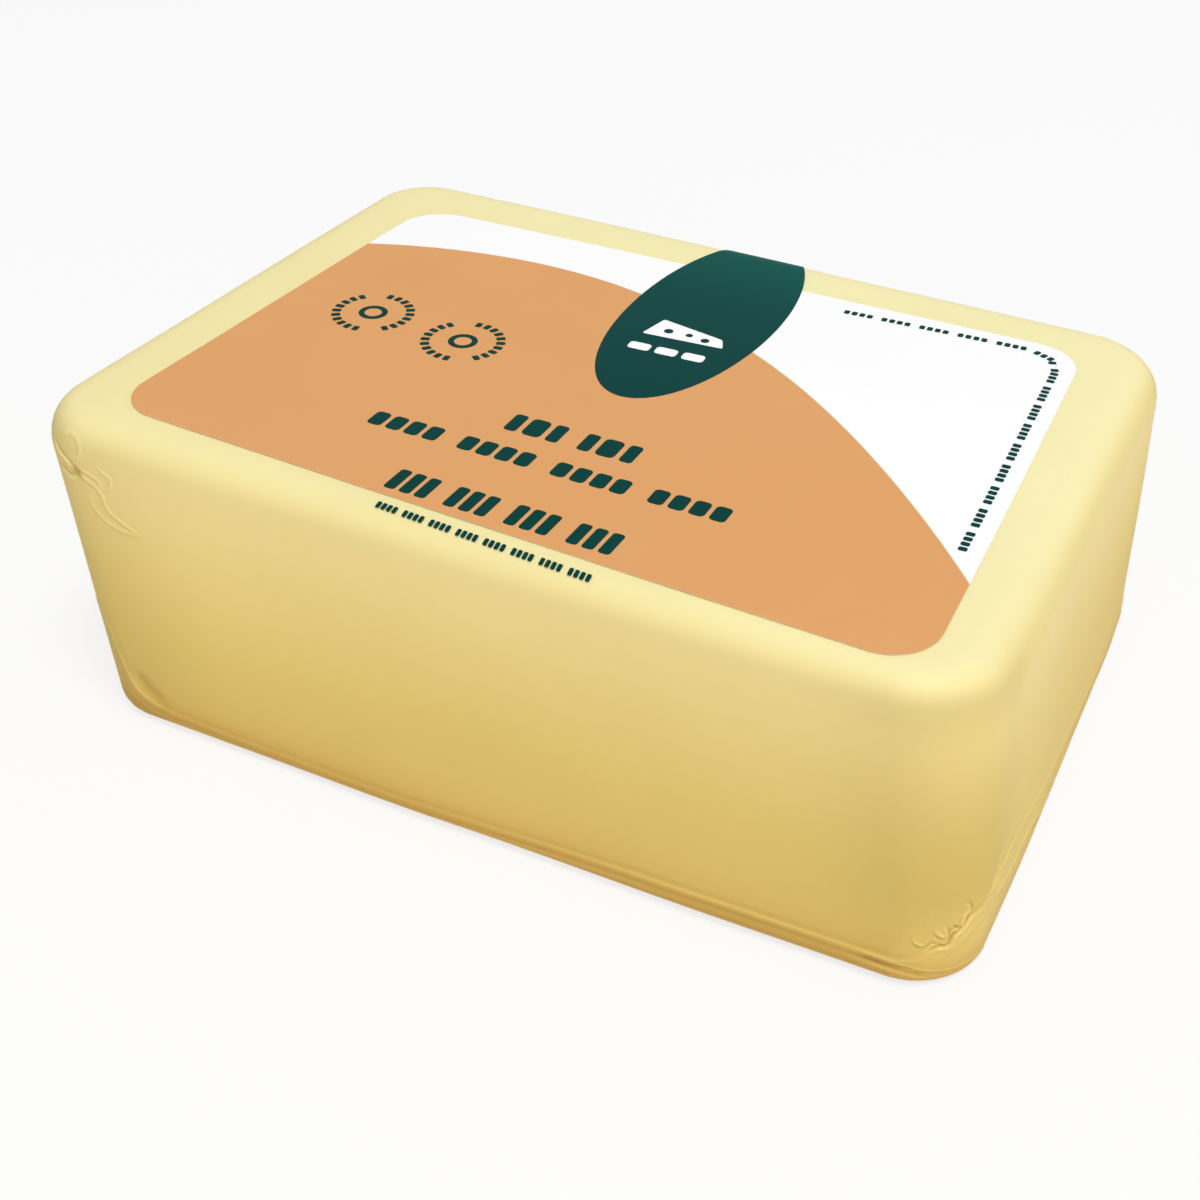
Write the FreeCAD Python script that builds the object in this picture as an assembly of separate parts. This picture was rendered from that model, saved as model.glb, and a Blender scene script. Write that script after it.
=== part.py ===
import FreeCAD, Part
import math
import os

# A four-kilogram trade block of mozzarella in its tight clear film, one solid.
# Frame: origin at the middle of the base, X along the length, Y along the width
# with the front face towards -Y, Z up.  Millimetres and degrees.

# Overall size, across the middle of the walls
length = 250.0
width = 180.5
height = 91.0

# Rounding of the upright corners, at the base and at the top
base_corner_radius = 18.0
top_corner_radius = 21.0

# Rounding of the edges round the base and round the top face
base_edge_radius = 5.0
top_edge_radius = 10.5

# How far each wall swells out at its middle
end_swell = 0.55
side_swell = 0.8

# Unevenness of a block pressed in a mould and packed by hand
flare = 3.6              # the top is this much wider than the base
lean_length = -4.1       # the top sits this far along X from the base
lean_width = -1.1        # the top sits this far along Y from the base
twist = -0.34            # turn of the top against the base
skew = 0.56              # the ends are out of square with the sides by this angle
end_narrowing = 1.25     # the right end is this much narrower than the left
top_slope = -1.56        # slope of the top face along the length
top_cross_slope = -0.2   # slope of the top face along the width

# Gathered edge of the film, a low bead round the foot of the walls
bead_drop = 1.0          # the bead starts this far below the top of the base rounding
bead_thickness = 2.4
bead_stand_out = 0.6
bead_rim_radius = 1.0

corner_signs = ((1, 1), (-1, 1), (-1, -1), (1, -1))


def place(x, y, rise):
    """A point of a regular block, moved to where it lies on the uneven one."""
    share = rise / height
    above_middle = share - 0.5
    x_share = 2 * x / length
    y_share = 2 * y / width
    x, y = (x + end_swell * x_share * (1 - y_share ** 2),
            y + side_swell * y_share * (1 - x_share ** 2))
    y *= 1 - end_narrowing / 2 * x_share / width
    x += math.tan(math.radians(skew)) * y
    turn = math.radians(twist) * above_middle
    x, y = (x * math.cos(turn) - y * math.sin(turn),
            x * math.sin(turn) + y * math.cos(turn))
    x += lean_length * above_middle
    y += lean_width * above_middle
    slope = math.tan(math.radians(top_slope)) * x + math.tan(math.radians(top_cross_slope)) * y
    return FreeCAD.Vector(x, y, rise + slope * share)


def outline(rise, stand_out):
    """The four wall arcs at one height, meeting in sharp corners."""
    half_length = length / 2 + stand_out
    half_width = (width + flare * (rise / height - 0.5)) / 2 + stand_out
    corners = [(along * half_length, across * half_width) for along, across in corner_signs]
    edges = []
    for number, start in enumerate(corners):
        end = corners[(number + 1) % 4]
        middle = ((start[0] + end[0]) / 2, (start[1] + end[1]) / 2)
        arc = Part.Arc(*[place(x, y, rise) for x, y in (start, middle, end)])
        edges.append(arc.toShape())
    return Part.Wire(edges)


def walls(stand_out):
    """The block with sharp rims and rounded upright corners."""
    shape = Part.makeLoft([outline(0, stand_out), outline(height, stand_out)], True, True)
    for along, across in corner_signs:
        upright = [edge for edge in shape.Edges
                   if edge.CenterOfMass.x * along > length * 0.45
                   and edge.CenterOfMass.y * across > width * 0.45]
        shape = shape.makeFillet(base_corner_radius + stand_out, top_corner_radius + stand_out, upright)
    return shape


def top_rim(shape):
    """The edges round the highest flat face."""
    return max(shape.Faces, key=lambda face: face.CenterOfMass.z).OuterWire.Edges


def base_rim(shape):
    """The edges round the lowest flat face."""
    return min(shape.Faces, key=lambda face: face.CenterOfMass.z).OuterWire.Edges


def wrapped_block():
    """The block with its soft top edge and its tighter base edge."""
    shape = walls(0)
    shape = shape.makeFillet(top_edge_radius, top_rim(shape))
    return shape.makeFillet(base_edge_radius, base_rim(shape))


def film_bead():
    """The bead of gathered film, a thin slice of a block that is wider all round."""
    slab = Part.makeBox(2 * length, 2 * width, bead_thickness,
                        FreeCAD.Vector(-length, -width, base_edge_radius - bead_drop))
    shape = walls(bead_stand_out).common(slab)
    shape = shape.makeFillet(bead_rim_radius, top_rim(shape))
    return shape.makeFillet(bead_rim_radius, base_rim(shape))


os.makedirs("parts", exist_ok=True)
block = wrapped_block().fuse(film_bead())
block.exportStep("parts/cheese_block.step")
print("solids", len(block.Solids), "valid", block.isValid(), "litres", round(block.Volume / 1e6, 3))
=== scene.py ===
import math
import bmesh
import bpy
import numpy as np
from mathutils import Matrix, Vector, noise


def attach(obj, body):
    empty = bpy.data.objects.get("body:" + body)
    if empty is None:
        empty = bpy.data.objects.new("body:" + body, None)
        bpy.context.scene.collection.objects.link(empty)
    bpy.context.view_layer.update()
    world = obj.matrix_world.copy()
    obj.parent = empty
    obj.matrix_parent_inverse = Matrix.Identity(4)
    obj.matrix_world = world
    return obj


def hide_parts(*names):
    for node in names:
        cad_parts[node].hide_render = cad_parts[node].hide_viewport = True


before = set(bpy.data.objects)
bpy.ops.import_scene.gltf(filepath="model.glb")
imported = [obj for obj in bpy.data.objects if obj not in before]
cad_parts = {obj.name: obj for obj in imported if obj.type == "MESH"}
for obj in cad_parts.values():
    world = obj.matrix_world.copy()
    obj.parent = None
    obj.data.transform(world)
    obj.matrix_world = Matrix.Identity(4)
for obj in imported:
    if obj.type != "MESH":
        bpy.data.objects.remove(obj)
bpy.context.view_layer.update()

MM = 0.001

# The block before its unevenness: the same sizes as the solid, in metres
LENGTH = 250.0 * MM
WIDTH = 180.5 * MM
HEIGHT = 91.0 * MM
CORNER_RADIUS = 19.5 * MM
BASE_CORNER_RADIUS = 18.0 * MM
TOP_CORNER_RADIUS = 21.0 * MM
BASE_EDGE_RADIUS = 5.0 * MM
TOP_EDGE_RADIUS = 10.5 * MM
FLAT_LENGTH = LENGTH / 2 - CORNER_RADIUS    # half the straight part of a long wall
FLAT_WIDTH = WIDTH / 2 - CORNER_RADIUS      # half the straight part of an end wall

# Unevenness of the block, as in the solid
END_SWELL = 0.55 * MM
SIDE_SWELL = 0.8 * MM
FLARE = 3.6 * MM
LEAN_LENGTH = -4.1 * MM
LEAN_WIDTH = -1.1 * MM
TWIST = math.radians(-0.34)
SKEW = math.tan(math.radians(0.56))
END_NARROWING = 1.25 * MM
TOP_SLOPE = math.tan(math.radians(-1.56))
TOP_CROSS_SLOPE = math.tan(math.radians(-0.2))

# Distances round the walls, from the middle of the front left corner along the front, the
# right end, the back and the left end
QUARTER_ARC = math.pi / 2 * CORNER_RADIUS
FRONT_RUN = 2 * FLAT_LENGTH + QUARTER_ARC
END_RUN = 2 * FLAT_WIDTH + QUARTER_ARC
ROUND_RUN = 2 * (FRONT_RUN + END_RUN)
FRONT_LEFT = 0.0
FRONT_RIGHT = FRONT_RUN
BACK_RIGHT = FRONT_RIGHT + END_RUN
BACK_LEFT = BACK_RIGHT + FRONT_RUN

# Fineness of the skin: first cells, then how near a fold they are halved
CELL = 5.0 * MM
REFINING = (7.0 * MM, 4.5 * MM, 2.8 * MM, 1.4 * MM)

# Facets in each rounded corner and edge
CORNER_STEPS = 12
TOP_EDGE_STEPS = 10
BASE_EDGE_STEPS = 6

# Softness of the skin
WAVE_LENGTH = 48.0 * MM
WALL_WAVE = 0.55 * MM
TOP_WAVE = 0.2 * MM

# How far in over the top the walls' relief and painted light and shade fade out, and above the floor
# fade in
RELIEF_DEPTH = 5.0 * MM
PAINTED_SHADING_DEPTH = 6.0 * MM
RELIEF_START = 2.0 * MM

# Layers above the cheese
FILM_GAP = 0.2 * MM
PANEL_LEVEL = 0.22 * MM
FIELD_LEVEL = 0.28 * MM
INK_LEVEL = 0.34 * MM
MOTIF_LEVEL = 0.40 * MM
HOLE_LEVEL = 0.46 * MM
INK_THICKNESS = 0.05 * MM

# The crease round the foot of the walls: run, rise, how strongly it shows
CREASE = (
    (0, 34, 0.4), (7, 31, 0.4), (9, 25, 0.5), (11, 15, 0.5), (15, 9, 0.5), (26, 6, 0.5),
    (90, 5.6, 0.5), (140, 7, 0.75), (172, 8.8, 1.0), (222, 8.8, 1.0), (234, 9.4, 0.5),
    (238, 13, 0.3), (242, 14.6, 0.3), (245, 18.2, 0.3), (247.5, 21, 0.4), (251.5, 21, 0.6),
    (258, 23, 0.7), (277, 22, 0.8), (305, 15.5, 0.8), (332, 12, 0.8), (380, 8, 0.8),
    (406, 10, 0.5), (413.5, 21, 0.4), (421, 10, 0.6), (470, 7.5, 0.7), (560, 6.5, 0.6),
    (635, 8.5, 0.8), (648, 15, 1.0), (655.5, 26, 1.0), (663, 14, 0.9), (700, 9, 0.8),
    (770, 8, 0.8), (812, 12, 0.6), (820, 28, 0.5), (827.4, 34, 0.4))
SKIRT_STAND_OUT = 0.25 * MM
SKIRT_EDGE = 0.6 * MM

# Fine lines along the crease: distance above it, height, half width
CREASE_LINES = ((1.5, -0.1, 0.6), (0.0, 0.26, 0.38), (-2.0, -0.26, 0.6), (-3.4, 0.12, 0.45),
                (-5.0, -0.15, 0.8))

# Folds of the film: corner they lie at, height, half width, then points of run from the
# middle of the corner and rise. A negative height is a groove.
FOLDS = (
    (FRONT_LEFT, -0.32, 0.5, ((5.0, 84), (8.2, 82.5), (11.2, 81.6), (13.2, 80.2), (13.9, 78.4))),
    (FRONT_LEFT, -0.3, 0.5, ((6.0, 77.0), (7.7, 78.1), (10.9, 76.5), (13.5, 78.0))),
    (FRONT_LEFT, 0.16, 0.5, ((9.0, 86.5), (12.0, 88), (15.5, 87), (16.8, 84.5), (15.5, 82.5))),
    (FRONT_LEFT, 0.2, 0.5, ((13.9, 78.4), (16.4, 77.4), (19.2, 76.2), (21, 73.7), (21, 70.1),
                            (23.1, 68.4), (26.1, 66.9), (30.1, 65))),
    (FRONT_LEFT, 0.16, 0.5, ((16.2, 72.3), (16.6, 69.8), (17.7, 67.8), (20, 65.9), (24, 64.7),
                            (29.8, 64.9))),
    (FRONT_LEFT, 0.16, 0.5, ((15.0, 80.2), (17.6, 79.3), (21, 78.2), (21.5, 76.4), (20.2, 75.2))),
    (FRONT_LEFT, 0.15, 0.55, ((21, 82.1), (25, 80.1), (25.3, 78.5), (24, 76))),
    (FRONT_LEFT, -0.25, 2.2, ((15, 18), (17.5, 13), (23, 9.5))),
    (FRONT_RIGHT, 0.26, 0.38, ((-20, 8.8), (-14.9, 9), (-9.2, 8), (-4.7, 6.6), (-1.1, 5.8),
                               (5, 5.2), (14, 5))),
    (FRONT_RIGHT, -0.3, 0.6, ((-20, 6.7), (-14.8, 6.8), (-9.1, 6.1), (-4, 4.6))),
    (FRONT_RIGHT, 0.42, 0.4, ((-8, 17), (-7, 15.6), (-5.7, 15), (-4.6, 16.1))),
    (FRONT_RIGHT, 0.42, 0.4, ((-3.2, 19.9), (-2.2, 18.3), (-0.8, 17.1), (-0.1, 18.1), (-1, 20.8))),
    (FRONT_RIGHT, 0.42, 0.4, ((2, 21), (3, 19.4), (3.8, 20.5), (4.5, 22.8), (5.7, 22.9),
                              (5.3, 25.1), (4, 26))),
    (FRONT_RIGHT, -0.35, 0.4, ((-5, 14.4), (-3.8, 15.9), (-2.4, 15.2), (-1.2, 15.6))),
    (FRONT_RIGHT, -0.35, 0.4, ((0.6, 18.4), (1.6, 19.9), (2.6, 18.8), (3.4, 21.8))),
    (FRONT_RIGHT, -0.65, 0.42, ((-4, 13.3), (-2.2, 14.6), (0, 13.9), (0.7, 15.2), (1.3, 17.1),
                                (3.4, 18.2), (4.5, 19.4), (5.9, 21.1), (7.5, 21.2))),
    (FRONT_RIGHT, -0.25, 0.8, ((5.9, 21.1), (9.7, 21), (14.9, 21.8), (18, 25), (22, 30))),
    (FRONT_RIGHT, 0.14, 1.0, ((-3, 10), (3.9, 14.9), (10.2, 16.8), (17.2, 16.1), (21.4, 19.1),
                             (26.4, 22), (35.8, 22.6))),
    (FRONT_RIGHT, 0.35, 0.6, ((19, 15.7), (32, 12.5), (48, 13), (64, 6.9), (77, 6), (95, 6))),
    (BACK_RIGHT, -0.5, 0.5, ((-9, 9), (-5, 14), (-1, 17), (2, 15), (5, 20), (11, 22), (19, 19))),
    (BACK_RIGHT, 0.4, 0.5, ((-7, 17), (-4, 16), (-2, 21), (1, 19), (3, 24))),
    (BACK_RIGHT, 0.2, 0.55, ((-14, 79), (-11, 76), (-7, 77.5), (-3, 73), (4, 71))),
    (BACK_LEFT, -0.5, 0.5, ((-10, 13), (-6, 17), (-2, 16), (1, 22), (5, 20), (8, 25), (16, 22))),
    (BACK_LEFT, 0.4, 0.5, ((-6, 20), (-3, 19), (0, 25), (3, 23), (5, 28))),
    (BACK_LEFT, 0.42, 0.55, ((9, 81.5), (13, 79.5), (15, 76), (20, 74), (22, 70), (29, 67))),
    (BACK_LEFT, 0.3, 0.5, ((16, 71), (18, 67.5), (23, 65.5), (30, 66))),
)
FOLD_FADE = 4.0 * MM         # from a fold's end to its full height
FOLD_END = 0.25              # share of the fade that a fold starts with
HOLLOW_SHARE = 0.8           # depth of the hollow beside a fold
HOLLOW_PLACE = 1.7           # its distance from the fold, in half widths
PINCH = (13.9 * MM, 78.4 * MM)
PINCH_DEPTH = 0.7 * MM
PINCH_REACH = 1.4 * MM

# Cheese: share of the height, colour. Deeper towards the base, partly painted shade; a painted
# darker band on the top rounding and painted light on the top
CHEESE_WITH_PAINTED_SHADE = (
    (0.00, (203, 164, 85)), (0.07, (211, 174, 93)), (0.10, (219, 186, 102)),
    (0.14, (224, 193, 110)), (0.22, (227, 199, 115)), (0.35, (231, 204, 120)),
    (0.50, (236, 210, 128)), (0.66, (241, 216, 139)), (0.80, (246, 222, 150)),
    (0.88, (246, 223, 152)), (0.94, (234, 216, 148)), (1.00, (241, 229, 170)))
MOTTLE_PALE = (1.03, 1.03, 1.05, 1)
MOTTLE_DEEP = (0.97, 0.965, 0.94, 1)
# Tints for painted shade below 0.5 and painted light above it
PAINTED_SHADING_TINTS = ((0.0, (0.62, 0.56, 0.42, 1)), (0.5, (1, 1, 1, 1)), (1.0, (1.08, 1.17, 1.42, 1)))

# Painted light and shade on the cheese: 0.5 takes it to an end of its tints
# Painted shade in the folds' grooves and painted light on their ridges and the crease lines
FOLD_PAINTED_SHADING = 0.75             # for each millimetre of a fold's height
# Painted light on the top, more towards the right and back
TOP_PAINTED_LIGHT = 0.2
# Painted shade on the front wall, more towards the right and higher up
FRONT_PAINTED_SHADE = 0.06
FRONT_PAINTED_SHADE_RISE = 45.0 * MM
# Painted light on the right end, most at its foot
END_PAINTED_LIGHT = 0.18
END_PAINTED_LIGHT_REACH = 32.0 * MM
END_PAINTED_LIGHT_TOP = 0.5
END_PAINTED_LIGHT_FOOT = 1.8

# Shade down the upright corners: corner's middle, strength
CORNER_SHADES = ((FRONT_RIGHT + 7 * MM, 1.0), (BACK_RIGHT, 0.8), (BACK_LEFT, 0.8))
CORNER_SHADE = 0.26
CORNER_SHADE_REACH = 26.0 * MM
SHADE_AT_FLOOR = 0.4
SHADE_GAIN, SHADE_GAIN_RISE = 0.6, 35.0 * MM
SHADE_LOSS, SHADE_LOSS_START, SHADE_LOSS_REACH = 0.4, 45.0 * MM, 35.0 * MM
RIM_SHADE, RIM_RISE, RIM_REACH = 0.5, 88.0 * MM, 7.0 * MM
LEFT_CORNER_SHADE = 0.2
LEFT_CORNER_SKIRT = 0.4

# Print: the white panel's corners, and the arch of the orange field on it, in millimetres
PANEL_CORNERS = ((-104.1, -76.3), (109.6, -81.8), (104.7, 69.3), (-101.1, 64.9))
PANEL_ROUNDING = 12.5 * MM
PANEL_SPAN = ((-0.104, -0.080), (0.108, 0.068))
ARCH_TOP = (-45.8, 46.8)
ARCH_BEND = 0.004033
ARCH_SPAN = (-0.110, 0.112)
ARCH_STEP = 4.0 * MM

# Badge: a plain oval that runs over the back edge
BADGE_CENTRE = (5.5, 40.5)
BADGE_HALF_WIDTH = 21.0
BADGE_HALF_LENGTH = 52.5
BADGE_SPAN = ((-0.012, -0.010), (0.024, 0.078))
BADGE_PAST_BACK = 5.5 * MM
EDGE_CELL = 1.4 * MM

# On the badge: a wedge of cheese with holes, each with its place and radius
WEDGE_CORNERS = ((-5, 22), (18, 24), (16, 28.5), (-3, 32))
WEDGE_ROUNDING = 0.8 * MM
WEDGE_HOLES = ((1, 26.2, 1.3), (7, 26.6, 1.0), (12, 25.8, 1.2))

# Round marks: name, centre; each is two arcs of blocks round a small ring
RINGS = (("label_ring_left", (-75, -3.0)), ("label_ring_right", (-44.7, -5.6)))
RING_RADIUS = 10.2
RING_TURN = 0.5
RING_STEPS = 24
RING_BLOCK = (1.7 * MM, 2.5 * MM)
RING_BLOCK_ROUNDING = 0.45 * MM
RING_MIDDLE = (2.4, 4.0)     # its inner and outer radius

# Rows of plain blocks: a space is a gap
BLOCK_WIDTHS = {"n": 1.0, "w": 1.5, " ": 0.9}
BLOCK_ROUNDING = 0.28        # share of a block's shorter side

# Each row: line it follows, height, pattern, share of the width left as gaps
BADGE_ROW = ("label_badge_row", ((-6, 14.5), (17, 16)), 3.8, "www", 0.2)
ROWS = (
    ("label_row_1", ((-13, -36.2), (23, -35.8)), 8.0, "nwn nwn", 0.25),
    ("label_row_2", ((-44, -50.3), (53, -49.6)), 6.2, "nnnn nnnn nnnn nnnn", 0.22),
    ("label_row_3", ((-24, -71.6), (36, -71.8)), 8.6, "nnn nnn nnn nnn", 0.26),
    ("label_row_4", ((-21, -82.2), (35.5, -84.4)), 1.9, " ".join(["nnnn"] * 8), 0.3),
    ("label_border_row", ((38.5, 61), (91, 64.2), (97.5, 61.5), (100.2, 55), (103.2, -38)), 2.1,
     " ".join(["nnnn"] * 15), 0.3),
)

# Film: how much of it mirrors, seen straight on and along it
FILM_GLOSS = (0.006, 0.16)
FILM_ROUGHNESS = 0.38
FILM_IOR = 1.3

# Print on the film is matt
INK_ROUGHNESS = 0.5
INK_GLOSS = 0.03

# Camera and lamps: each lamp's name, place, size and power
CAMERA_PLACE = (0.1628, -0.3410, 0.2915)
CAMERA_TURN = math.radians(26.754)
CAMERA_DROP = math.radians(35.956)
CAMERA_ROLL = math.radians(-0.311)
CAMERA_LENS = 48.38
LAMP_AIM = (0, 0, 0.04)
LAMPS = (("key", (1.03, -0.90, 3.13), 1.5, 62.0), ("fill", (1.24, -1.79, 0.75), 1.8, 7.5))
WORLD_STRENGTH = 0.6
FLOOR_RADIUS = 3.0
FLOOR_COLOUR = (0.9, 0.9, 0.9, 1)
FLOOR_WHITE = 0.75           # share of plain white in the floor as it is seen


# ---------------------------------------------------------------- colours

def linear(red, green, blue):
    """A screen colour, 0 to 255, as light."""
    def one(value):
        share = value / 255
        return share / 12.92 if share <= 0.04045 else ((share + 0.055) / 1.055) ** 2.4
    return (one(red), one(green), one(blue), 1.0)


# Inks, light and deep
INK_WHITE = ((0.985, 0.985, 0.985, 1), (0.965, 0.965, 0.965, 1))
INK_ORANGE = (linear(225, 166, 109), linear(221, 161, 103))
INK_GREEN = (linear(0, 64, 60), linear(0, 56, 52))
BADGE_COLOURS = ((0.0, linear(0, 60, 58)), (0.6, linear(1, 66, 62)), (1.0, linear(4, 84, 76)))
BADGE_FRONT, BADGE_BACK = -10.0 * MM, 88.0 * MM


# ---------------------------------------------------------------- small tools

def deselect_all():
    bpy.ops.object.select_all(action="DESELECT")


def choose(*pieces):
    deselect_all()
    for piece in pieces:
        piece.select_set(True)
    bpy.context.view_layer.objects.active = pieces[0]


def start_editing(piece):
    choose(piece)
    bpy.ops.object.mode_set(mode="EDIT")


def stop_editing():
    bpy.ops.object.mode_set(mode="OBJECT")


def named(name):
    piece = bpy.context.object
    piece.name = name
    piece.data.name = name
    return piece


def select_edges(test):
    """In edit mode: selects the edges whose two ends pass the test."""
    bpy.ops.mesh.select_mode(type="EDGE")
    bpy.ops.mesh.select_all(action="DESELECT")
    mesh = bmesh.from_edit_mesh(bpy.context.object.data)
    for edge in mesh.edges:
        if test(edge.verts[0].co, edge.verts[1].co):
            edge.select_set(True)
    bmesh.update_edit_mesh(bpy.context.object.data)


def round_edges(test, radius, steps):
    select_edges(test)
    bpy.ops.mesh.bevel(offset=radius, segments=steps, affect="EDGES", clamp_overlap=False)


def cut(place, direction, keep_behind_only=False):
    bpy.ops.mesh.select_all(action="SELECT")
    bpy.ops.mesh.bisect(plane_co=place, plane_no=Vector(direction).normalized(), threshold=1e-6,
                        clear_outer=keep_behind_only)


def steps_between(low, high, size):
    count = max(1, round((high - low) / size))
    return [low + (high - low) * step / count for step in range(count + 1)]


def soft_step(value):
    value = np.clip(value, 0, 1)
    return value * value * (3 - 2 * value)


def hump(distance, width):
    return np.exp(-(distance / width) ** 2)


# ---------------------------------------------------------------- form of the block

def outward(spots):
    """For spots on the regular block: the level way out, how deep inside the walls, in a corner."""
    x, y = spots[:, 0], spots[:, 1]
    over_x = np.abs(x) - FLAT_LENGTH
    over_y = np.abs(y) - FLAT_WIDTH
    in_corner = (over_x > 0) & (over_y > 0)
    along = np.maximum(over_x, 0)
    across = np.maximum(over_y, 0)
    reach = np.where(in_corner, np.hypot(along, across), 1.0)
    end_side = over_x > over_y
    to_x = np.where(in_corner, along / reach, np.where(end_side, 1.0, 0.0)) * np.sign(x)
    to_y = np.where(in_corner, across / reach, np.where(end_side, 0.0, 1.0)) * np.sign(y)
    inside = np.where(in_corner, reach, np.maximum(over_x, over_y))
    return to_x, to_y, CORNER_RADIUS - inside, in_corner


def round_walls(spots):
    """Run round the walls for spots on the regular block."""
    x, y = spots[:, 0], spots[:, 1]
    to_x, to_y, depth, in_corner = outward(spots)
    half = QUARTER_ARC / 2
    turn_front_right = np.arctan2(to_x, -to_y)
    run = np.select(
        [in_corner & (x > 0) & (y < 0),
         in_corner & (x > 0) & (y > 0),
         in_corner & (x < 0) & (y > 0),
         in_corner,
         to_y < 0,
         to_x > 0,
         to_y > 0],
        [FRONT_RUN - half + CORNER_RADIUS * turn_front_right,
         BACK_RIGHT - half + CORNER_RADIUS * np.arctan2(to_y, to_x),
         BACK_LEFT - half + CORNER_RADIUS * np.arctan2(-to_x, to_y),
         ROUND_RUN - half + CORNER_RADIUS * np.arctan2(-to_y, -to_x),
         half + x + FLAT_LENGTH,
         FRONT_RUN + half + y + FLAT_WIDTH,
         BACK_RIGHT + half + FLAT_LENGTH - x],
        BACK_LEFT + half + FLAT_WIDTH - y)
    return np.mod(run, ROUND_RUN)


def beside_line(run, rise, points):
    """Distance from a line, side of it and distance to its nearer end, for spots on the walls."""
    points = np.array(points)
    steps = np.diff(points, axis=0)
    lengths = np.hypot(steps[:, 0], steps[:, 1])
    starts = np.concatenate(([0], np.cumsum(lengths)))
    nearest = np.full(run.shape, np.inf)
    side = np.ones(run.shape)
    along = np.zeros(run.shape)
    for point, step, length, start in zip(points, steps, lengths, starts):
        over_x, over_y = run - point[0], rise - point[1]
        share = np.clip((over_x * step[0] + over_y * step[1]) / length ** 2, 0, 1)
        distance = np.hypot(over_x - share * step[0], over_y - share * step[1])
        closer = distance < nearest
        nearest = np.where(closer, distance, nearest)
        side = np.where(closer, np.sign(step[0] * over_y - step[1] * over_x), side)
        along = np.where(closer, start + share * length, along)
    return nearest, side, np.minimum(along, starts[-1] - along)


def softened(points):
    """The line of points with its bends cut off."""
    points = np.array(points)
    starts, ends = points[:-1], points[1:]
    cut_points = np.stack([0.75 * starts + 0.25 * ends, 0.25 * starts + 0.75 * ends], axis=1)
    return np.concatenate([points[:1], cut_points.reshape(-1, points.shape[1]), points[-1:]])


def fold_lines(run):
    """Each fold's height, half width and points in metres, with the run to measure it by."""
    for corner, height, width, points in FOLDS:
        line = [(corner + over * MM, rise * MM) for over, rise in points]
        here = from_front_left(run) if corner == FRONT_LEFT else run
        yield height * MM, width * MM, softened(line), here


def crease_points():
    """The crease's run, rise and strength."""
    return softened([(run * MM, rise * MM, strength) for run, rise, strength in CREASE])


def from_front_left(run):
    """Run as a distance either side of the front left corner."""
    return np.where(run > ROUND_RUN / 2, run - ROUND_RUN, run)


def nearness(spots):
    """Distance from the nearest fold or crease."""
    run, rise = round_walls(spots), spots[:, 2]
    depth = outward(spots)[2]
    nearest = beside_line(run, rise, crease_points()[:, :2])[0]
    for height, width, line, here in fold_lines(run):
        distance = beside_line(here, rise, line)[0] - max(0, width - MM)
        nearest = np.minimum(nearest, distance)
    return np.hypot(np.maximum(nearest, 0), np.maximum(depth, 0))


def waves(spots):
    """Soft unevenness, more on the walls than on the top."""
    on_top = soft_step((spots[:, 2] - (HEIGHT - TOP_EDGE_RADIUS)) / TOP_EDGE_RADIUS)
    height = WALL_WAVE + (TOP_WAVE - WALL_WAVE) * on_top
    wave = [noise.noise(Vector(spot) / WAVE_LENGTH) for spot in spots]
    return height * np.array(wave)


def crease_relief(run, rise):
    """Below its crease the film stands off the wall. Returns that skirt and the fine lines."""
    points = crease_points()
    level = np.interp(run, points[:, 0], points[:, 1])
    strength = np.interp(run, points[:, 0], points[:, 2])
    distance = beside_line(run, rise, points[:, :2])[0] * np.sign(rise - level)
    skirt = strength * soft_step(0.5 - distance / (2 * SKIRT_EDGE))
    lines = sum(height * MM * hump(distance - above * MM, width * MM)
                for above, height, width in CREASE_LINES)
    return skirt, strength * lines


def fold_relief(run, rise):
    """The folds, each with a hollow along one side, and the pinch they gather at."""
    relief = np.zeros(run.shape)
    for height, width, line, here in fold_lines(run):
        distance, side, to_end = beside_line(here, rise, line)
        fade = soft_step(FOLD_END + to_end / FOLD_FADE)
        signed = distance * side
        hollow = HOLLOW_SHARE * hump(signed + HOLLOW_PLACE * width, width)
        relief += fade * height * (hump(signed, width) - hollow)
    pinch = np.hypot(from_front_left(run) - PINCH[0], rise - PINCH[1])
    return relief - PINCH_DEPTH * hump(pinch, PINCH_REACH)


def relief(spots):
    """How far the skin stands out from the regular block."""
    run, rise = round_walls(spots), spots[:, 2]
    depth = outward(spots)[2]
    on_wall = soft_step(1 - depth / RELIEF_DEPTH) * soft_step(rise / RELIEF_START)
    skirt, lines = crease_relief(run, rise)
    folds = SKIRT_STAND_OUT * skirt + lines + fold_relief(run, rise)
    off_floor = soft_step(rise / BASE_EDGE_RADIUS)
    return off_floor * waves(spots) + on_wall * folds


def corner_shade(run, rise, skirt):
    """Shade down the upright corners."""
    upright = sum(share * hump(run - middle, CORNER_SHADE_REACH)
                  for middle, share in CORNER_SHADES)
    gain = SHADE_GAIN * soft_step(rise / SHADE_GAIN_RISE)
    loss = SHADE_LOSS * soft_step((rise - SHADE_LOSS_START) / SHADE_LOSS_REACH)
    rim = RIM_SHADE * hump(rise - RIM_RISE, RIM_REACH)
    upright *= SHADE_AT_FLOOR + gain - loss + rim
    left = hump(from_front_left(run), CORNER_SHADE_REACH) * (1 + LEFT_CORNER_SKIRT * skirt)
    return CORNER_SHADE * (1 - skirt) * upright + LEFT_CORNER_SHADE * left


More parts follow.
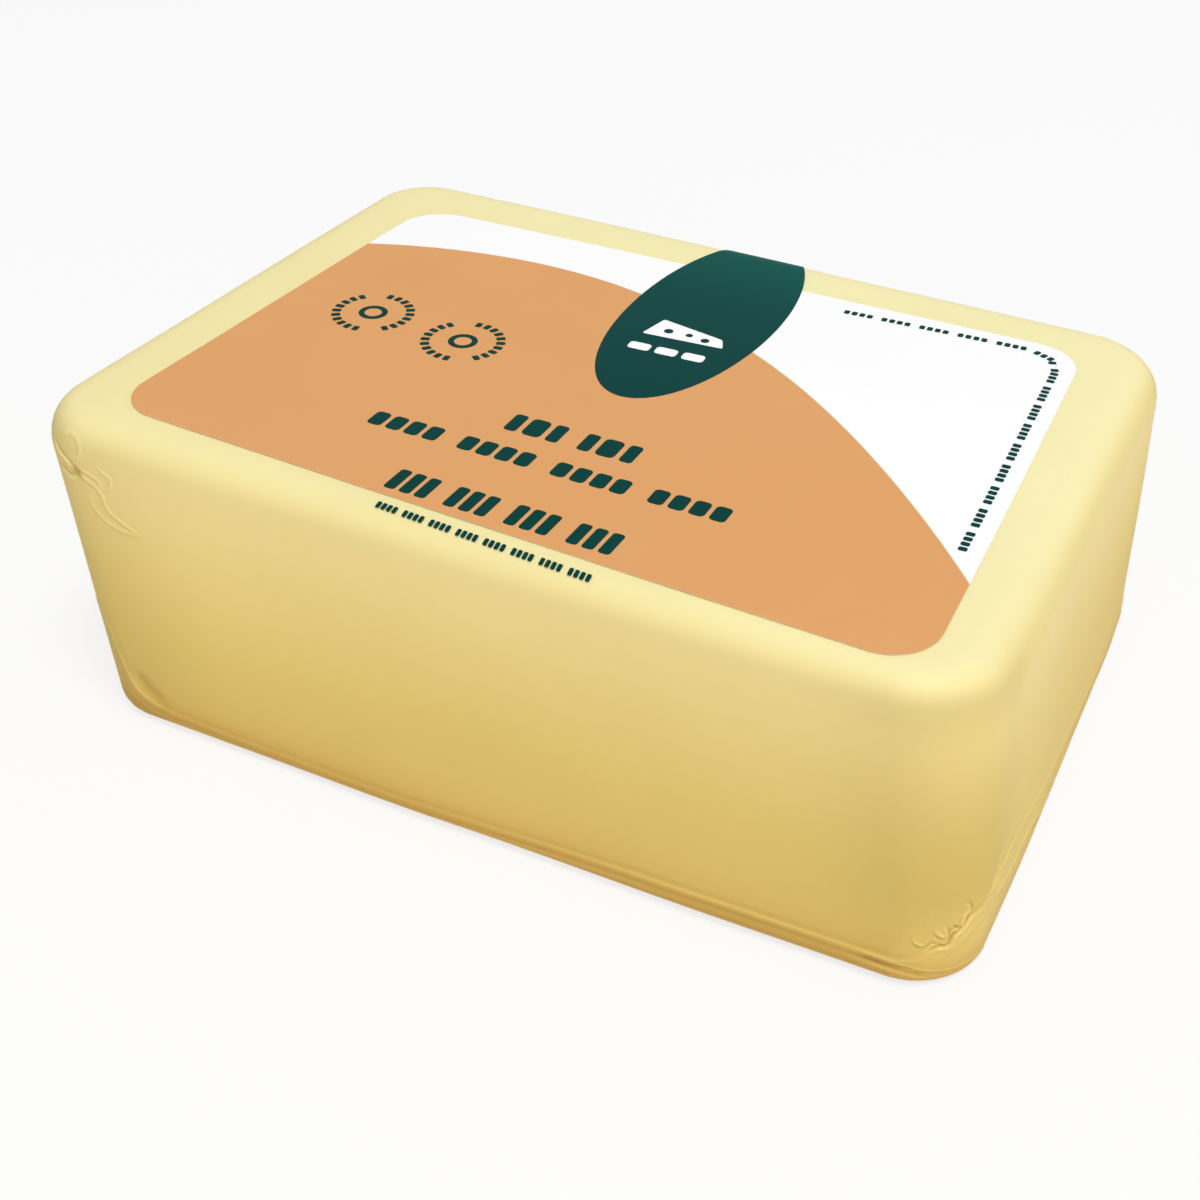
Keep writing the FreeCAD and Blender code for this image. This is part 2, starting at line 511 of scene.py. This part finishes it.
def skin_painted_shading(spots):
    """Painted light above 0.5 and painted shade below it."""
    run, rise = round_walls(spots), spots[:, 2]
    to_x, to_y, depth, in_corner = outward(spots)
    on_wall = soft_step(1 - depth / PAINTED_SHADING_DEPTH)
    skirt, lines = crease_relief(run, rise)
    # Painted shade and light that follow the folds' and crease's relief
    folds = FOLD_PAINTED_SHADING * (lines + fold_relief(run, rise)) / MM
    to_right, to_back = spots[:, 0] / LENGTH, spots[:, 1] / WIDTH
    # Painted light on the right end
    at_foot = soft_step(1 - rise / END_PAINTED_LIGHT_REACH)
    end = END_PAINTED_LIGHT * soft_step(to_x) * (END_PAINTED_LIGHT_TOP + END_PAINTED_LIGHT_FOOT * at_foot)
    # Painted shade on the front wall
    front = FRONT_PAINTED_SHADE * soft_step(-to_y) * soft_step(0.5 + to_right)
    front *= soft_step(rise / FRONT_PAINTED_SHADE_RISE)
    wall = folds - corner_shade(run, rise, skirt) + end - front
    # Painted light on the top
    top = TOP_PAINTED_LIGHT * soft_step(0.5 + to_right + to_back)
    return np.clip(0.5 + on_wall * wall + (1 - on_wall) * top, 0, 1)


def corner_change(spots):
    """The upright corners are rounder at the top than at the base."""
    to_x, to_y, depth, in_corner = outward(spots)
    share = spots[:, 2] / HEIGHT
    radius = BASE_CORNER_RADIUS + (TOP_CORNER_RADIUS - BASE_CORNER_RADIUS) * share
    hold = np.where(in_corner, np.clip(1 - depth / CORNER_RADIUS, 0, 1), 0)
    change = hold * (radius - CORNER_RADIUS) * (1 - np.abs(to_x) - np.abs(to_y))
    return np.stack([to_x * change, to_y * change, np.zeros(len(spots))], axis=1)


def placed(spots):
    """Moves spots of the regular block onto the uneven one."""
    x, y, rise = spots[:, 0], spots[:, 1], spots[:, 2]
    share = rise / HEIGHT
    above_middle = share - 0.5
    x_share, y_share = 2 * x / LENGTH, 2 * y / WIDTH
    y = y * (1 + FLARE * above_middle / WIDTH)
    x, y = (x + END_SWELL * x_share * (1 - y_share ** 2),
            y + SIDE_SWELL * y_share * (1 - x_share ** 2))
    y = y * (1 - END_NARROWING / 2 * x_share / WIDTH)
    x = x + SKEW * y
    turn = TWIST * above_middle
    x, y = x * np.cos(turn) - y * np.sin(turn), x * np.sin(turn) + y * np.cos(turn)
    x = x + LEAN_LENGTH * above_middle
    y = y + LEAN_WIDTH * above_middle
    rise = rise + (TOP_SLOPE * x + TOP_CROSS_SLOPE * y) * share
    return np.stack([x, y, rise], axis=1)


def settled(spots, normals, level):
    """Spots of the regular block, raised by the skin's relief and a level, in their place."""
    height = relief(spots) + level
    raised = spots + corner_change(spots) + normals * height[:, None]
    return placed(raised)


def read_spots(mesh):
    values = np.zeros(3 * len(mesh.vertices))
    mesh.vertices.foreach_get("co", values)
    return values.reshape(-1, 3)


def write_spots(mesh, spots):
    mesh.vertices.foreach_set("co", spots.ravel())
    mesh.update()


def skin_normals(spots):
    """Outward directions on the regular block."""
    to_x, to_y, depth, in_corner = outward(spots)
    rise = spots[:, 2]
    top = np.clip((rise - (HEIGHT - TOP_EDGE_RADIUS)) / TOP_EDGE_RADIUS, 0, 1)
    base = np.clip((BASE_EDGE_RADIUS - rise) / BASE_EDGE_RADIUS, 0, 1)
    up = top - base
    level = np.sqrt(1 - up ** 2)
    return np.stack([to_x * level, to_y * level, up], axis=1)


# ---------------------------------------------------------------- cheese and film

def regular_block(name):
    bpy.ops.mesh.primitive_cube_add(size=1)
    piece = named(name)
    start_editing(piece)
    bpy.ops.mesh.select_all(action="SELECT")
    bpy.ops.transform.resize(value=(LENGTH, WIDTH, HEIGHT))
    bpy.ops.transform.translate(value=(0, 0, HEIGHT / 2))
    tiny = 0.01 * MM
    round_edges(lambda a, b: abs(a.z - b.z) > HEIGHT / 2, CORNER_RADIUS, CORNER_STEPS)
    round_edges(lambda a, b: min(a.z, b.z) > HEIGHT - tiny, TOP_EDGE_RADIUS, TOP_EDGE_STEPS)
    round_edges(lambda a, b: max(a.z, b.z) < tiny, BASE_EDGE_RADIUS, BASE_EDGE_STEPS)
    for x in steps_between(-FLAT_LENGTH, FLAT_LENGTH, CELL):
        cut((x, 0, 0), (1, 0, 0))
    for y in steps_between(-FLAT_WIDTH, FLAT_WIDTH, CELL):
        cut((0, y, 0), (0, 1, 0))
    for z in steps_between(BASE_EDGE_RADIUS, HEIGHT - TOP_EDGE_RADIUS, CELL):
        cut((0, 0, z), (0, 0, 1))
    stop_editing()
    return piece


def refine(piece):
    """Halves the cells near the folds, several times."""
    start_editing(piece)
    for reach in REFINING:
        bpy.ops.mesh.select_mode(type="FACE")
        bpy.ops.mesh.select_all(action="DESELECT")
        mesh = bmesh.from_edit_mesh(piece.data)
        faces = list(mesh.faces)
        middles = np.array([face.calc_center_median() for face in faces])
        for face, distance in zip(faces, nearness(middles)):
            if distance < reach:
                face.select_set(True)
        bmesh.update_edit_mesh(piece.data)
        bpy.ops.mesh.subdivide(number_cuts=1)
    stop_editing()


def shape_skin(piece, level):
    spots = read_spots(piece.data)
    # Writes the painted light and shade, and the share of the height, on the skin
    for name, values in (("painted_light_and_shade", skin_painted_shading(spots)), ("rise", spots[:, 2] / HEIGHT)):
        field = piece.data.attributes.new(name, "FLOAT", "POINT")
        field.data.foreach_set("value", values)
    write_spots(piece.data, settled(spots, skin_normals(spots), level))
    choose(piece)
    bpy.ops.object.shade_smooth()


def add_cheese_and_film():
    cheese = regular_block("cheese_body")
    refine(cheese)
    film = cheese.copy()
    film.data = cheese.data.copy()
    film.name = "film_wrap"
    film.data.name = "film_wrap"
    bpy.context.collection.objects.link(film)
    shape_skin(cheese, 0.0)
    shape_skin(film, FILM_GAP)
    return cheese, film


# ---------------------------------------------------------------- print

def wrapped_spots(flat):
    """Lays flat print on the top: past the flat part it goes down the front or back edge."""
    x, y = flat[:, 0], flat[:, 1]
    edge = WIDTH / 2 - TOP_EDGE_RADIUS
    angle = np.maximum(np.abs(y) - edge, 0) / TOP_EDGE_RADIUS
    outwards, upwards = np.sign(y) * np.sin(angle), np.cos(angle)
    y = np.clip(y, -edge, edge) + TOP_EDGE_RADIUS * outwards
    z = HEIGHT - TOP_EDGE_RADIUS * (1 - upwards)
    return np.stack([x, y, z], axis=1), np.stack([0 * x, outwards, upwards], axis=1)


def lay_print(piece, level):
    """Lays flat print on the film and gives it the thickness of ink."""
    spots, normals = wrapped_spots(read_spots(piece.data))
    write_spots(piece.data, settled(spots, normals, level))
    choose(piece)
    modifier = piece.modifiers.new("ink", "SOLIDIFY")
    modifier.thickness = INK_THICKNESS
    modifier.offset = 1
    bpy.ops.object.modifier_apply(modifier="ink")
    bpy.ops.object.shade_smooth_by_angle(angle=math.radians(40))


def cut_into_cells(low, high, over_edge=False):
    """In edit mode: cuts flat print into cells as fine as the skin's, so that it can follow it."""
    for x in steps_between(low[0], high[0], CELL):
        cut((x, 0, 0), (1, 0, 0))
    for y in steps_between(low[1], high[1], CELL):
        cut((0, y, 0), (0, 1, 0))
    if over_edge:
        edge = WIDTH / 2 - TOP_EDGE_RADIUS
        for y in steps_between(edge, edge + math.pi / 2 * TOP_EDGE_RADIUS, EDGE_CELL):
            cut((0, y, 0), (0, 1, 0))


def start_four_cornered(name, corners, rounding, steps):
    """A flat shape with four given corners, rounded. It is left in edit mode."""
    bpy.ops.mesh.primitive_plane_add(size=2)
    piece = named(name)
    start_editing(piece)
    mesh = bmesh.from_edit_mesh(piece.data)
    order = {(-1, -1): 0, (1, -1): 1, (1, 1): 2, (-1, 1): 3}
    for corner in mesh.verts:
        which = order[(round(corner.co.x), round(corner.co.y))]
        corner.co = Vector((*corners[which], 0)) * MM
    bmesh.update_edit_mesh(piece.data)
    bpy.ops.mesh.select_all(action="SELECT")
    bpy.ops.mesh.bevel(offset=rounding, segments=steps, affect="VERTICES")
    return piece


def start_panel(name):
    return start_four_cornered(name, PANEL_CORNERS, PANEL_ROUNDING, 10)


def add_panel():
    piece = start_panel("label_panel")
    cut_into_cells(*PANEL_SPAN)
    stop_editing()
    lay_print(piece, PANEL_LEVEL)
    return piece


def add_field():
    """The part of the panel below a wide arch."""
    piece = start_panel("label_field")
    for x in steps_between(*ARCH_SPAN, ARCH_STEP):
        over = x - ARCH_TOP[0] * MM
        y = ARCH_TOP[1] * MM - ARCH_BEND * over ** 2 / MM
        slope = -2 * ARCH_BEND * over / MM
        cut((x, y, 0), (-slope, 1, 0), keep_behind_only=True)
    cut_into_cells(*PANEL_SPAN)
    stop_editing()
    lay_print(piece, FIELD_LEVEL)
    return piece


def add_badge():
    bpy.ops.mesh.primitive_circle_add(vertices=96, radius=1, fill_type="NGON")
    piece = named("label_badge")
    start_editing(piece)
    bpy.ops.mesh.select_all(action="SELECT")
    bpy.ops.transform.resize(value=(BADGE_HALF_WIDTH * MM, BADGE_HALF_LENGTH * MM, 1))
    bpy.ops.transform.translate(value=(BADGE_CENTRE[0] * MM, BADGE_CENTRE[1] * MM, 0))
    cut((0, WIDTH / 2 + BADGE_PAST_BACK, 0), (0, 1, 0), keep_behind_only=True)
    cut_into_cells(*BADGE_SPAN, over_edge=True)
    stop_editing()
    lay_print(piece, INK_LEVEL)
    return piece


def add_bar(length, height, rounding):
    """A flat bar with rounded corners, lying at the origin."""
    bpy.ops.mesh.primitive_plane_add(size=1)
    piece = named("bar")
    start_editing(piece)
    bpy.ops.mesh.select_all(action="SELECT")
    bpy.ops.transform.resize(value=(length, height, 1))
    bpy.ops.mesh.bevel(offset=rounding, segments=3, affect="VERTICES")
    stop_editing()
    return piece


def move_mesh(piece, place, turn):
    piece.data.transform(Matrix.Translation(Vector(place)) @ Matrix.Rotation(turn, 4, "Z"))


def joined(pieces, name):
    choose(*pieces)
    if len(pieces) > 1:
        bpy.ops.object.join()
    return named(name)


def copied(piece):
    """A copy with its own mesh."""
    copy = piece.copy()
    copy.data = piece.data.copy()
    bpy.context.collection.objects.link(copy)
    return copy


def block_models(pattern, width, height):
    """One block of each kind in the pattern."""
    models = {}
    for kind in sorted(set(pattern) - {" "}):
        size = (BLOCK_WIDTHS[kind] * width, height)
        models[kind] = add_bar(*size, BLOCK_ROUNDING * min(size))
    return models


def row_of_blocks(name, line, height, pattern, gap_share, level):
    """A row of blocks that fills a line of points."""
    points = [Vector((x * MM, y * MM, 0)) for x, y in line]
    length = sum((end - start).length for start, end in zip(points, points[1:]))
    step = length / sum(BLOCK_WIDTHS[kind] for kind in pattern)
    models = block_models(pattern, step * (1 - gap_share), height * MM)
    blocks, along = [], 0.0
    for kind in pattern:
        width = BLOCK_WIDTHS[kind] * step
        if kind in models:
            block = copied(models[kind])
            place, turn = spot_along(points, along + width / 2)
            move_mesh(block, place, turn)
            blocks.append(block)
        along += width
    for model in models.values():
        bpy.data.objects.remove(model)
    row = joined(blocks, name)
    lay_print(row, level)
    return row


def spot_along(points, distance):
    for start, end in zip(points, points[1:]):
        step = end - start
        if distance <= step.length or end is points[-1]:
            return start + step.normalized() * distance, math.atan2(step.y, step.x)
        distance -= step.length


def add_ring(name, centre):
    """Blocks round a circle, in two arcs."""
    model = add_bar(*RING_BLOCK, RING_BLOCK_ROUNDING)
    move_mesh(model, (0, RING_RADIUS * MM, 0), 0)
    blocks = []
    for step in range(RING_STEPS):
        if step % (RING_STEPS // 2) not in (0, RING_STEPS // 2 - 1):
            block = copied(model)
            move_mesh(block, (0, 0, 0), (step + 0.5) * 2 * math.pi / RING_STEPS)
            blocks.append(block)
    bpy.data.objects.remove(model)
    ring = joined(blocks, name)
    move_mesh(ring, (centre[0] * MM, centre[1] * MM, 0), RING_TURN)
    lay_print(ring, INK_LEVEL)
    return ring


def add_wedge(name):
    """A small wedge of cheese as a plain flat shape."""
    piece = start_four_cornered(name, WEDGE_CORNERS, WEDGE_ROUNDING, 3)
    stop_editing()
    lay_print(piece, MOTIF_LEVEL)
    return piece


def add_holes(name):
    discs = []
    for x, y, radius in WEDGE_HOLES:
        bpy.ops.mesh.primitive_circle_add(vertices=28, radius=radius * MM, fill_type="NGON")
        disc = named("hole")
        move_mesh(disc, (x * MM, y * MM, 0), 0)
        discs.append(disc)
    piece = joined(discs, name)
    lay_print(piece, HOLE_LEVEL)
    return piece


def add_ring_middle(name, centre):
    inner, outer = RING_MIDDLE
    bpy.ops.mesh.primitive_circle_add(vertices=40, radius=outer * MM, fill_type="NGON")
    piece = named(name)
    start_editing(piece)
    bpy.ops.mesh.select_all(action="SELECT")
    bpy.ops.mesh.inset(thickness=(outer - inner) * MM)
    bpy.ops.mesh.delete(type="FACE")
    bpy.ops.mesh.select_all(action="SELECT")
    bpy.ops.transform.translate(value=(centre[0] * MM, centre[1] * MM, 0))
    stop_editing()
    lay_print(piece, INK_LEVEL)
    return piece


# ---------------------------------------------------------------- finishes

def emptied_tree(owner, output_kind):
    """The owner's nodes cleared down to one output."""
    owner.use_nodes = True
    tree = owner.node_tree
    for node in list(tree.nodes):
        tree.nodes.remove(node)
    return tree, tree.nodes.new(output_kind)


def new_material(name):
    material = bpy.data.materials.new(name)
    return material, *emptied_tree(material, "ShaderNodeOutputMaterial")


def add_node(tree, kind, **values):
    node = tree.nodes.new(kind)
    for key, value in values.items():
        setattr(node, key, value)
    return node


def object_place(tree):
    return add_node(tree, "ShaderNodeTexCoord").outputs["Object"]


def mottle(tree, scale, detail=3.0):
    node = add_node(tree, "ShaderNodeTexNoise")
    node.inputs["Scale"].default_value = scale
    node.inputs["Detail"].default_value = detail
    tree.links.new(object_place(tree), node.inputs["Vector"])
    return node.outputs["Fac"]


def ramp(tree, source, stops):
    node = add_node(tree, "ShaderNodeValToRGB")
    band = node.color_ramp
    while len(band.elements) < len(stops):
        band.elements.new(0.5)
    for element, (place, colour) in zip(band.elements, stops):
        element.position = place
        element.color = colour
    tree.links.new(source, node.inputs["Fac"])
    return node.outputs["Color"]


def mixed(tree, share, first, second, mode="MIX"):
    node = add_node(tree, "ShaderNodeMix", data_type="RGBA", blend_type=mode)
    for socket, value in ((0, share), (6, first), (7, second)):
        if hasattr(value, "links"):
            tree.links.new(value, node.inputs[socket])
        else:
            node.inputs[socket].default_value = value
    return node.outputs[2]


def skin_value(tree, name):
    """A value written on the skin when it was shaped."""
    return add_node(tree, "ShaderNodeAttribute", attribute_name=name).outputs["Fac"]


def surface(tree, output, colour, roughness, **values):
    shader = add_node(tree, "ShaderNodeBsdfPrincipled")
    if hasattr(colour, "links"):
        tree.links.new(colour, shader.inputs["Base Color"])
    else:
        shader.inputs["Base Color"].default_value = colour
    shader.inputs["Roughness"].default_value = roughness
    for key, value in values.items():
        shader.inputs[key.replace("_", " ")].default_value = value
    tree.links.new(shader.outputs["BSDF"], output.inputs["Surface"])
    return shader


def cheese_material():
    """Deeper towards the base, partly painted shade, faintly mottled, with the painted light and
    shade written on the skin.
    """
    material, tree, output = new_material("cheese_pale_yellow")
    # Colour by height, partly painted shade towards the base
    body = ramp(tree, skin_value(tree, "rise"), [(rise, linear(*colour)) for rise, colour in CHEESE_WITH_PAINTED_SHADE])
    pale = mixed(tree, 1.0, body, MOTTLE_PALE, "MULTIPLY")
    deep = mixed(tree, 1.0, body, MOTTLE_DEEP, "MULTIPLY")
    mottled = mixed(tree, mottle(tree, 22.0), deep, pale)
    # Painted light and shade from the skin's values
    painted_shading = ramp(tree, skin_value(tree, "painted_light_and_shade"), PAINTED_SHADING_TINTS)
    colour = mixed(tree, 1.0, mottled, painted_shading, "MULTIPLY")
    surface(tree, output, colour, 0.5, Subsurface_Weight=0.1, Subsurface_Scale=3 * MM,
            Subsurface_Radius=(1.0, 0.7, 0.35), Specular_IOR_Level=0.0)
    return material


def film_material():
    material, tree, output = new_material("clear_film")
    clear = add_node(tree, "ShaderNodeBsdfTransparent")
    gloss = surface(tree, output, (1, 0.99, 0.96, 1), FILM_ROUGHNESS, Metallic=1.0)
    edge = add_node(tree, "ShaderNodeFresnel")
    edge.inputs["IOR"].default_value = FILM_IOR
    reach = add_node(tree, "ShaderNodeMapRange")
    reach.inputs["To Min"].default_value, reach.inputs["To Max"].default_value = FILM_GLOSS
    tree.links.new(edge.outputs["Fac"], reach.inputs["Value"])
    mix = add_node(tree, "ShaderNodeMixShader")
    tree.links.new(reach.outputs["Result"], mix.inputs["Fac"])
    tree.links.new(clear.outputs["BSDF"], mix.inputs[1])
    tree.links.new(gloss.outputs["BSDF"], mix.inputs[2])
    tree.links.new(mix.outputs["Shader"], output.inputs["Surface"])
    return material


def ink_material(name, light_colour, deep_colour, scale):
    material, tree, output = new_material(name)
    colour = mixed(tree, mottle(tree, scale), deep_colour, light_colour)
    surface(tree, output, colour, INK_ROUGHNESS, Specular_IOR_Level=INK_GLOSS)
    return material


def badge_material():
    """Dark green that lightens towards the back."""
    material, tree, output = new_material("ink_badge_green")
    split = add_node(tree, "ShaderNodeSeparateXYZ")
    tree.links.new(object_place(tree), split.inputs["Vector"])
    reach = add_node(tree, "ShaderNodeMapRange")
    reach.inputs["From Min"].default_value = BADGE_FRONT
    reach.inputs["From Max"].default_value = BADGE_BACK
    tree.links.new(split.outputs["Y"], reach.inputs["Value"])
    colour = ramp(tree, reach.outputs["Result"], BADGE_COLOURS)
    surface(tree, output, colour, INK_ROUGHNESS, Specular_IOR_Level=INK_GLOSS)
    return material


# ---------------------------------------------------------------- stage

def add_camera():
    data = bpy.data.cameras.new("camera")
    data.lens = CAMERA_LENS
    data.sensor_width = 36
    camera = bpy.data.objects.new("camera", data)
    bpy.context.collection.objects.link(camera)
    turn = (Matrix.Rotation(CAMERA_TURN, 4, "Z")
            @ Matrix.Rotation(math.pi / 2 - CAMERA_DROP, 4, "X")
            @ Matrix.Rotation(CAMERA_ROLL, 4, "Z"))
    camera.matrix_world = Matrix.Translation(CAMERA_PLACE) @ turn
    bpy.context.scene.camera = camera


def add_lamp(name, place, size, power):
    data = bpy.data.lights.new(name, "AREA")
    data.shape = "DISK"
    data.size = size
    data.energy = power
    lamp = bpy.data.objects.new(name, data)
    bpy.context.collection.objects.link(lamp)
    lamp.location = place
    to_block = Vector(LAMP_AIM) - Vector(place)
    lamp.rotation_euler = to_block.to_track_quat("-Z", "Y").to_euler()


def shown_white(tree, plain, share=1.0):
    """To the eye and in gloss, a share of plain white light in place of the plain shader."""
    path = add_node(tree, "ShaderNodeLightPath")
    seen = path.outputs["Is Camera Ray"]
    for kind in ("Is Glossy Ray", "Is Transmission Ray"):
        either = add_node(tree, "ShaderNodeMath", operation="MAXIMUM")
        tree.links.new(seen, either.inputs[0])
        tree.links.new(path.outputs[kind], either.inputs[1])
        seen = either.outputs["Value"]
    factor = add_node(tree, "ShaderNodeMath", operation="MULTIPLY")
    factor.inputs[1].default_value = share
    tree.links.new(seen, factor.inputs[0])
    mix = add_node(tree, "ShaderNodeMixShader")
    tree.links.new(factor.outputs["Value"], mix.inputs["Fac"])
    tree.links.new(plain, mix.inputs[1])
    return mix


def set_world():
    world = bpy.data.worlds.new("studio")
    bpy.context.scene.world = world
    tree, output = emptied_tree(world, "ShaderNodeOutputWorld")
    soft = add_node(tree, "ShaderNodeBackground")
    soft.inputs["Strength"].default_value = WORLD_STRENGTH
    white = add_node(tree, "ShaderNodeBackground")
    white.inputs["Color"].default_value = (1, 1, 1, 1)
    mix = shown_white(tree, soft.outputs["Background"])
    tree.links.new(white.outputs["Background"], mix.inputs[2])
    tree.links.new(mix.outputs["Shader"], output.inputs["Surface"])


def add_floor():
    bpy.ops.mesh.primitive_circle_add(vertices=64, radius=FLOOR_RADIUS, fill_type="NGON")
    floor = named("floor")
    material, tree, output = new_material("floor_pale")
    plain = add_node(tree, "ShaderNodeBsdfDiffuse")
    plain.inputs["Color"].default_value = FLOOR_COLOUR
    white = add_node(tree, "ShaderNodeEmission")
    mix = shown_white(tree, plain.outputs["BSDF"], FLOOR_WHITE)
    tree.links.new(white.outputs["Emission"], mix.inputs[2])
    tree.links.new(mix.outputs["Shader"], output.inputs["Surface"])
    floor.data.materials.append(material)


# ---------------------------------------------------------------- the whole

def finish_piece(piece, material, stands_for_block=False):
    piece.data.materials.clear()
    piece.data.materials.append(material)
    if stands_for_block:
        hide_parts("cheese_block")
    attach(piece, "root")


def add_print():
    white = ink_material("ink_white", *INK_WHITE, 30.0)
    orange = ink_material("ink_orange", *INK_ORANGE, 30.0)
    green = ink_material("ink_green", *INK_GREEN, 60.0)
    finish_piece(add_panel(), white)
    finish_piece(add_field(), orange)
    finish_piece(add_badge(), badge_material())
    for name, centre in RINGS:
        finish_piece(add_ring(name, centre), green)
        finish_piece(add_ring_middle(name + "_middle", centre), green)
    for row in ROWS:
        finish_piece(row_of_blocks(*row, INK_LEVEL), green)
    finish_piece(add_wedge("label_badge_wedge"), white)
    finish_piece(add_holes("label_badge_holes"), green)
    finish_piece(row_of_blocks(*BADGE_ROW, MOTIF_LEVEL), white)


bpy.context.scene.view_settings.view_transform = "Standard"
add_camera()
set_world()
for lamp in LAMPS:
    add_lamp(*lamp)
add_floor()
cheese, film = add_cheese_and_film()
finish_piece(cheese, cheese_material(), stands_for_block=True)
finish_piece(film, film_material(), stands_for_block=True)
add_print()
deselect_all()
